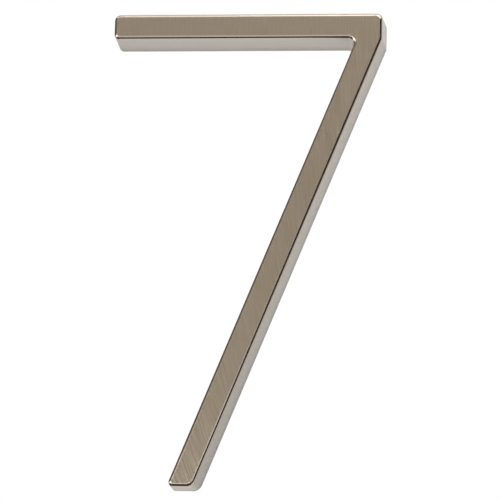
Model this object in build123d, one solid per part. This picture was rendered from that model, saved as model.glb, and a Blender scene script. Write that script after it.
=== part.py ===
from build123d import *
import math
import os

os.makedirs("parts", exist_ok=True)

# House number 7, one zinc casting with a satin nickel finish.
# Millimetres, +Z up, the front faces -Y and the flat back lies on the wall at Y = 0.
# The origin is the mouth of the stud hole in the bar.

# Outline at the wall, where the casting is widest
HEIGHT = 127.0
WIDTH = 72.9
BAR_WIDTH = 7.65
LEG_WIDTH = 7.4  # across its slope
LEG_LEAN = 21.8  # degrees from upright
RIGHT_END = 7.55  # upright edge at the bar's right end, above the leg's outer edge

# Section
DEPTH = 12.5
DRAFT = 2.3  # degrees, every wall closes in towards the front
FRONT_ROUND = 0.95  # along the whole edge of the front face
BACK_ROUND = 0.2  # edge at the wall, eased where the back is ground flat

# Upright corners, each with one radius from the wall to the front
BAR_TOP_CORNER = 1.65
BAR_UNDER_CORNER = 1.35
ELBOW_CORNER = 1.25
FOOT_RIGHT_CORNER = 2.6
FOOT_LEFT_CORNER = 1.15
INNER_CORNER = 1.6

# Blind holes in the back for M4 studs, bored to the thread's outer diameter
STUD_DIAMETER = 4.0
STUD_HOLE_DEPTH = 8.5
STUD_HOLE_LEAD = 0.3  # chamfer at the mouth
DRILL_POINT = 118.0  # degrees, at the bottom of the hole
BAR_HOLE_INSET = 14.0  # from the bar's left end
LEG_HOLE_RISE = 18.0  # above the foot

# Outline, drawn with its lower left limit at zero
lean = math.tan(math.radians(LEG_LEAN))
leg_across = LEG_WIDTH / math.cos(math.radians(LEG_LEAN))
foot_right = WIDTH - (HEIGHT - RIGHT_END) * lean
foot_left = foot_right - leg_across
bar_under = HEIGHT - BAR_WIDTH
inner_x = foot_left + bar_under * lean
corners = [
    ((0, HEIGHT), BAR_TOP_CORNER),
    ((0, bar_under), BAR_UNDER_CORNER),
    ((inner_x, bar_under), INNER_CORNER),
    ((foot_left, 0), FOOT_LEFT_CORNER),
    ((foot_right, 0), FOOT_RIGHT_CORNER),
    ((WIDTH, HEIGHT - RIGHT_END), ELBOW_CORNER),
    ((WIDTH, HEIGHT), BAR_TOP_CORNER),
]
outline = make_face(Polyline(*[point for point, radius in corners], close=True))

# Casting, closing in from the wall to the front
casting = extrude(Plane.XZ * outline, DEPTH, taper=DRAFT)
for (x, z), radius in corners:
    uprights = casting.edges().filter_by_position(Axis.Y, -0.6 * DEPTH, -0.4 * DEPTH)
    casting = fillet(uprights.sort_by_distance((x, 0, z))[0], radius)
casting = fillet(casting.faces().sort_by(Axis.Y)[0].edges(), FRONT_ROUND)
casting = fillet(casting.faces().sort_by(Axis.Y)[-1].edges(), BACK_ROUND)

# Stud holes, on the centre lines of the bar and the leg
hole_radius = STUD_DIAMETER / 2
mouth_radius = hole_radius + STUD_HOLE_LEAD
point_depth = STUD_HOLE_DEPTH + hole_radius / math.tan(math.radians(DRILL_POINT / 2))
hole_half = make_face(
    Polyline(
        (0, 0),
        (mouth_radius, 0),
        (hole_radius, -STUD_HOLE_LEAD),
        (hole_radius, -STUD_HOLE_DEPTH),
        (0, -point_depth),
        close=True,
    )
)
stud_hole = revolve(hole_half, Axis.Y)
bar_hole = Vector(BAR_HOLE_INSET, 0, HEIGHT - BAR_WIDTH / 2)
leg_hole = Vector(foot_left + leg_across / 2 + LEG_HOLE_RISE * lean, 0, LEG_HOLE_RISE)
casting -= Pos(bar_hole) * stud_hole
casting -= Pos(leg_hole) * stud_hole

# Part, moved so that the bar's stud hole is the origin
number_seven = Pos(-bar_hole) * casting
number_seven.label = "number_seven"
export_step(number_seven, "parts/number_seven.step")
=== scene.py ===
import bpy
import math
from mathutils import Matrix, Vector


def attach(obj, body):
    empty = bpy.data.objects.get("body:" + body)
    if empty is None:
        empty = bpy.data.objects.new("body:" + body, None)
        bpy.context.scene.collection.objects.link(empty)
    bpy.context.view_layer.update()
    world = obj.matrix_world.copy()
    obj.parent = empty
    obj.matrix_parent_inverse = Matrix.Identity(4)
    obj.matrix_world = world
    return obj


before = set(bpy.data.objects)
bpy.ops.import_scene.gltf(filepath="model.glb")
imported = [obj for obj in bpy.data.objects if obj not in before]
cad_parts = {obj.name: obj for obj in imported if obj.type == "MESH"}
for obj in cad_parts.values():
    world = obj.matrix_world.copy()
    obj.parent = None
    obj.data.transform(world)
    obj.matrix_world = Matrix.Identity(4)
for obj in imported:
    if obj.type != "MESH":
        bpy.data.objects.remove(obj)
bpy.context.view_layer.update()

# Figure seven
# One zinc casting, ground flat on its back and nickel plated all over. The front is brushed up and down, which
# leaves it darker and warmer than the satin walls and the smooth edge rounds. Two studs hold it from behind.
FRONT = -0.0125  # the front face, measured from the wall
satin_nickel = bpy.data.materials.new("satin_nickel")
satin_nickel.use_nodes = True
nodes = satin_nickel.node_tree.nodes
links = satin_nickel.node_tree.links
nickel = nodes["Principled BSDF"]
nickel.inputs["Metallic"].default_value = 1.0
place = nodes.new("ShaderNodeTexCoord").outputs["Object"]
axes = nodes.new("ShaderNodeSeparateXYZ")
links.new(place, axes.inputs["Vector"])
sideways, inwards, upwards = axes.outputs["X"], axes.outputs["Y"], axes.outputs["Z"]


def run(value, start, end, low=0.0, high=1.0):
    # goes from low to high while the value goes from start to end
    node = nodes.new("ShaderNodeMapRange")
    node.inputs["From Min"].default_value = start
    node.inputs["From Max"].default_value = end
    node.inputs["To Min"].default_value = low
    node.inputs["To Max"].default_value = high
    links.new(value, node.inputs["Value"])
    return node.outputs["Result"]


def reckon(operation, *terms):
    # sums on values in the metal, on plain numbers or on both
    node = nodes.new("ShaderNodeMath")
    node.operation = operation
    for socket, term in zip(node.inputs, terms):
        if isinstance(term, float):
            socket.default_value = term
        else:
            links.new(term, socket)
    return node.outputs["Value"]


def tone(value, first, last, *between):
    # metal colour that follows the value from stop to stop
    node = nodes.new("ShaderNodeValToRGB")
    stops = node.color_ramp.elements
    for stop, (position, colour) in zip(stops, (first, last)):
        stop.position = position
        stop.color = (*colour, 1.0)
    for position, colour in between:
        stops.new(position).color = (*colour, 1.0)
    links.new(value, node.inputs["Fac"])
    return node.outputs["Color"]


# the brushed front ends just inside the edge round, and the back is ground on the same belt
FRONT_BELT = (FRONT + 0.000002, FRONT + 0.000012)
BACK_BELT = (-0.00003, -0.00001)
front_belt = run(inwards, *FRONT_BELT, 1.0, 0.0)
back_belt = run(inwards, *BACK_BELT)
brushed = reckon("ADD", front_belt, back_belt)

# brush lines, a few tenths of a millimetre apart and many millimetres long, upright on the bar and swung
# outwards towards the foot as the belt ran down the leg
LINE_SWING = -1.6  # sideways, times the height squared
LINE_LAY = (3200.0, 3200.0, 80.0)  # close across the belt, drawn out along it
LINE_MEAN = 0.5
BITE_DEEPENS = (-0.098, -0.116)  # heights on the leg between which the belt dug in
BITE_ABOVE, BITE_AT_FOOT = 1.0, 2.2
drop = reckon("MULTIPLY", upwards, upwards)
swung = nodes.new("ShaderNodeCombineXYZ")
links.new(reckon("MULTIPLY_ADD", drop, LINE_SWING, sideways), swung.inputs["X"])
links.new(inwards, swung.inputs["Y"])
links.new(upwards, swung.inputs["Z"])
lay = nodes.new("ShaderNodeMapping")
lay.inputs["Scale"].default_value = LINE_LAY
links.new(swung.outputs["Vector"], lay.inputs["Vector"])
lines = nodes.new("ShaderNodeTexNoise")
lines.inputs["Scale"].default_value = 1.0
lines.inputs["Detail"].default_value = 4.0
lines.inputs["Roughness"].default_value = 0.65
links.new(lay.outputs["Vector"], lines.inputs["Vector"])
bite = run(upwards, *BITE_DEEPENS, BITE_ABOVE, BITE_AT_FOOT)
centred = reckon("SUBTRACT", lines.outputs["Fac"], LINE_MEAN)
cut = reckon("MULTIPLY_ADD", centred, bite, LINE_MEAN)
front_colour = tone(cut, (0.25, (0.262, 0.214, 0.16)), (0.75, (0.368, 0.31, 0.24)))

# plated walls and rounds, a little clouded at random, with painted light and shade by depth: the rounds painted
# darker and warm, the walls painted lightest just behind them and darker towards the back, and a painted dark
# shade line along the back edge where they meet the wall
CLOUD_SCALE, CLOUD_SHARE, DEPTH_SHADE_SHARE = 420.0, 0.08, 0.9
# painted shade: the rounds are coloured darker than the walls just behind them, which dims the light they
# reflect
ROUND_SHADE_TONE = (0.09, (0.42, 0.365, 0.31))
# painted light and shade: the walls are coloured lightest just behind the rounds and darker towards the back
WALL_LIGHT_AND_SHADE_TONES = (
    (0.11, (0.475, 0.43, 0.38)),
    (0.65, (0.42, 0.381, 0.338)),
    (0.91, (0.28, 0.256, 0.23)),
)
# painted shade: a dark line coloured along the back edge, where the walls meet the wall
BACK_SHADE_LINE_TONE = (0.95, (0.15, 0.138, 0.126))
cloud = nodes.new("ShaderNodeTexNoise")
cloud.inputs["Scale"].default_value = CLOUD_SCALE
cloud.inputs["Detail"].default_value = 3.0
links.new(place, cloud.inputs["Vector"])
# painted shade by depth: the further back on the walls, the darker the colour
shade_depth = run(inwards, FRONT, 0.0, 0.0, DEPTH_SHADE_SHARE)
clouded_and_shaded = reckon("MULTIPLY_ADD", cloud.outputs["Fac"], CLOUD_SHARE, shade_depth)
wall_colour_and_shade = tone(clouded_and_shaded, ROUND_SHADE_TONE, BACK_SHADE_LINE_TONE, *WALL_LIGHT_AND_SHADE_TONES)
colour = nodes.new("ShaderNodeMix")
colour.data_type = "RGBA"
links.new(brushed, colour.inputs["Factor"])
links.new(wall_colour_and_shade, colour.inputs[6])  # its two colours are sockets 6 and 7
links.new(front_colour, colour.inputs[7])
links.new(colour.outputs[2], nickel.inputs["Base Color"])

# the rounds are the smoothest, the satin walls behind them scatter more, and so does the brushed front
FRONT_ROUGH = (0.26, 0.4)
ROUND_ROUGH = (0.12, 0.2)
ROUND_ENDS = (FRONT + 0.0008, FRONT + 0.0012)
SATIN_ROUGH = 0.22  # added on the walls
front_rough = run(cut, 0.0, 1.0, *FRONT_ROUGH)
round_rough = run(cloud.outputs["Fac"], 0.0, 1.0, *ROUND_ROUGH)
satin = run(inwards, *ROUND_ENDS, 0.0, SATIN_ROUGH)
rough = nodes.new("ShaderNodeMix")
links.new(brushed, rough.inputs["Factor"])
links.new(reckon("ADD", round_rough, satin), rough.inputs[2])  # its two numbers are sockets 2 and 3
links.new(front_rough, rough.inputs[3])
links.new(rough.outputs[0], nickel.inputs["Roughness"])

# the lines are scratches in the surface
SCRATCH_DEPTH = 0.00002
scratch = nodes.new("ShaderNodeBump")
scratch.inputs["Distance"].default_value = SCRATCH_DEPTH
links.new(brushed, scratch.inputs["Strength"])
links.new(cut, scratch.inputs["Height"])
links.new(scratch.outputs["Normal"], nickel.inputs["Normal"])
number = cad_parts["number_seven"]
number.data.materials.clear()
number.data.materials.append(satin_nickel)

# Stud threads
# M4 threads tapped into the two blind holes in the back, where the studs from the wall screw in.
# Each is one ridge with a flat crest that winds up the bore, in the same plated zinc as the figure.
CREST, ROOT = 0.00162, 0.00202  # radii from the hole's axis
RIDGE_WIDTH, CREST_SHARE = 0.00064, 0.27  # width at the root, and the part of it that is left at the crest
FIRST_TURN = -0.00065  # behind the chamfer at the hole's mouth
THREAD_PITCH = 0.0007
THREAD_TURNS, TURN_STEPS = 9, 28
LEG_HOLE = (0.014338, 0.0, -0.105175)  # mouth of the hole in the leg, the one in the bar is the origin
start = (0.5 * (CREST + ROOT), FIRST_TURN, 0.0)
bpy.ops.object.select_all(action="DESELECT")
bpy.ops.mesh.primitive_plane_add(size=1.0, location=start)
bar_thread = bpy.context.object
bar_thread.name = "bar_stud_thread"
bar_thread.scale = (ROOT - CREST, RIDGE_WIDTH, 1.0)
bpy.ops.object.transform_apply()

# the ridge's section narrows to its crest, then winds along the hole
bpy.ops.object.mode_set(mode="EDIT")
bpy.ops.mesh.select_all(action="DESELECT")
bpy.ops.object.mode_set(mode="OBJECT")
for corner in bar_thread.data.vertices:
    corner.select = corner.co.x < start[0]
bpy.ops.object.mode_set(mode="EDIT")
bpy.ops.transform.resize(value=(1.0, CREST_SHARE, 1.0), center_override=start)
bpy.ops.object.mode_set(mode="OBJECT")
winding = bar_thread.modifiers.new("winding", "SCREW")
winding.axis = "Y"
winding.angle = math.radians(-360.0)
winding.screw_offset = -THREAD_PITCH
winding.iterations = THREAD_TURNS
winding.steps = TURN_STEPS
winding.render_steps = TURN_STEPS
bpy.ops.object.modifier_apply(modifier="winding")
bpy.ops.object.mode_set(mode="EDIT")
bpy.ops.mesh.select_all(action="SELECT")
bpy.ops.mesh.remove_doubles(threshold=0.000001)
bpy.ops.mesh.fill_holes(sides=4)
bpy.ops.mesh.normals_make_consistent(inside=False)
bpy.ops.object.mode_set(mode="OBJECT")
bpy.ops.object.shade_smooth_by_angle(angle=math.radians(35.0))
bar_thread.data.materials.append(satin_nickel)
bpy.ops.object.duplicate()
leg_thread = bpy.context.object
leg_thread.name = "leg_stud_thread"
leg_thread.location = LEG_HOLE
bpy.ops.object.transform_apply()
for thread in (bar_thread, leg_thread):
    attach(thread, "root")

# Studio
# A plain pale floor well below the figure, white all round, and soft lights above, at the left and low in front.
# Dark, grey and pale cards stand round it at a distance. Only the metal shows them, and no camera sees them.
FLOOR_SIZE, FLOOR_HEIGHT = 8.0, -0.62
pale = bpy.data.materials.new("pale_floor")
pale.use_nodes = True
paint = pale.node_tree.nodes["Principled BSDF"]
paint.inputs["Base Color"].default_value = (0.9, 0.9, 0.9, 1.0)
paint.inputs["Roughness"].default_value = 0.9
bpy.ops.object.select_all(action="DESELECT")
bpy.ops.mesh.primitive_plane_add(size=FLOOR_SIZE, location=(0.0, 0.0, FLOOR_HEIGHT))
floor = bpy.context.object
floor.name = "floor"
floor.data.materials.append(pale)

# each card is given by its colour and two opposite corners
DARK, DUSKY = (0.05, 0.04, 0.03), (0.075, 0.063, 0.05)
QUARTER_TURN = math.radians(90.0)
for name, shade, low, high in (
    ("card_below", DUSKY, (-0.2, -0.45, -0.36), (0.16, 0.1, -0.36)),
    ("card_below_right", DUSKY, (0.16, -0.45, -0.36), (0.46, 0.0, -0.36)),
    ("card_below_left", DARK, (-0.5, -0.35, -0.37), (-0.12, 0.3, -0.37)),
    ("card_right", DARK, (0.6, -0.82, -0.44), (0.6, -0.01, 0.3)),
    ("card_right_front", DARK, (0.6, -1.3, -0.24), (0.6, -0.82, 0.3)),
    ("card_left", (0.14, 0.132, 0.122), (-0.6, -0.45, -0.1), (-0.6, 0.75, 0.52)),
    ("card_left_front", (0.46, 0.44, 0.415), (-0.6, -1.3, -0.1), (-0.6, -0.45, 0.7)),
    ("card_left_low", DARK, (-0.6, -0.08, -0.6), (-0.6, 0.6, -0.36)),
    ("card_front", (0.62, 0.588, 0.55), (-1.2, -1.6, -0.06), (1.2, -1.6, 0.6)),
    ("card_front_left", (0.34, 0.322, 0.302), (-1.2, -1.59, 0.34), (-0.48, -1.59, 0.8)),
    ("card_back_low", (0.72, 0.7, 0.68), (-0.6, 1.2, -0.36), (0.1, 1.2, -0.18)),
    ("card_back_right_low", (0.56, 0.55, 0.535), (0.1, 1.2, -0.6), (0.9, 1.2, -0.12)),
    ("card_back_right", (0.74, 0.73, 0.715), (0.1, 1.2, -0.12), (0.9, 1.2, 0.2)),
    ("card_back_right_high", (0.86, 0.85, 0.83), (0.1, 1.2, 0.2), (0.9, 1.2, 0.7)),
):
    cover = bpy.data.materials.new(name)
    cover.use_nodes = True
    paper = cover.node_tree.nodes["Principled BSDF"]
    paper.inputs["Base Color"].default_value = (*shade, 1.0)
    paper.inputs["Roughness"].default_value = 1.0
    paper.inputs["Specular IOR Level"].default_value = 0.0
    low, high = Vector(low), Vector(high)
    size = high - low
    if size.x == 0.0:
        tilt, spread = (0.0, QUARTER_TURN, 0.0), (size.z, size.y, 1.0)
    elif size.y == 0.0:
        tilt, spread = (QUARTER_TURN, 0.0, 0.0), (size.x, size.z, 1.0)
    else:
        tilt, spread = (0.0, 0.0, 0.0), (size.x, size.y, 1.0)
    bpy.ops.mesh.primitive_plane_add(size=1.0, location=(low + high) / 2, rotation=tilt)
    card = bpy.context.object
    card.name = name
    card.scale = spread
    card.data.materials.append(cover)
    card.visible_camera = False
    card.visible_diffuse = False
    card.visible_shadow = False
    card.visible_transmission = False

# each light is given by its place, width, height and watts, and faces the middle of the figure
MIDDLE = Vector((0.02, -0.01, -0.05))
for name, spot, wide, tall, watts in (
    ("soft_above", (0.4, -0.58, 0.92), 1.2, 1.2, 8.8),
    ("soft_above_left", (-0.6, -0.7, 0.9), 0.6, 0.6, 1.2),
    ("soft_left", (-0.565, -0.425, -0.135), 0.82, 0.39, 2.4),
    ("soft_front_low", (-0.025, -0.19, -0.175), 0.12, 0.05, 0.019),
    ("soft_front_right_low", (0.105, -0.296, -0.143), 0.106, 0.042, 0.0098),
):
    lamp = bpy.data.lights.new(name, "AREA")
    lamp.shape = "RECTANGLE"
    lamp.size = wide
    lamp.size_y = tall
    lamp.energy = watts
    lit = bpy.data.objects.new(name, lamp)
    lit.location = spot
    facing = MIDDLE - Vector(spot)
    lit.rotation_euler = facing.to_track_quat("-Z", "Y").to_euler()
    lit.visible_camera = False
    bpy.context.scene.collection.objects.link(lit)

white = bpy.data.worlds.new("white_studio")
white.use_nodes = True
white.node_tree.nodes["Background"].inputs["Color"].default_value = (1.0, 1.0, 1.0, 1.0)
white.node_tree.nodes["Background"].inputs["Strength"].default_value = 1.0
bpy.context.scene.world = white

# Camera
# A long lens on a stand, a little below the figure and to its right, turned up and left towards it.
# The stand leans slightly to one side.
STAND = (0.091845, -0.617614, -0.159143)
YAW, PITCH, ROLL = -0.11092, 0.16053, 0.02252
LENS = 169.214
level = math.cos(PITCH)
ahead = Vector((math.sin(YAW) * level, math.cos(YAW) * level, math.sin(PITCH)))
right = Vector((math.cos(YAW), -math.sin(YAW), 0.0))
up = right.cross(ahead)
leaning_right = math.cos(ROLL) * right + math.sin(ROLL) * up
leaning_up = math.cos(ROLL) * up - math.sin(ROLL) * right
lens = bpy.data.cameras.new("camera")
lens.lens = LENS
lens.clip_start = 0.01
camera = bpy.data.objects.new("camera", lens)
turn = Matrix((leaning_right, leaning_up, -ahead)).transposed().to_4x4()
camera.matrix_world = Matrix.Translation(STAND) @ turn
bpy.context.scene.collection.objects.link(camera)
bpy.context.scene.camera = camera
bpy.context.scene.view_settings.view_transform = "Standard"
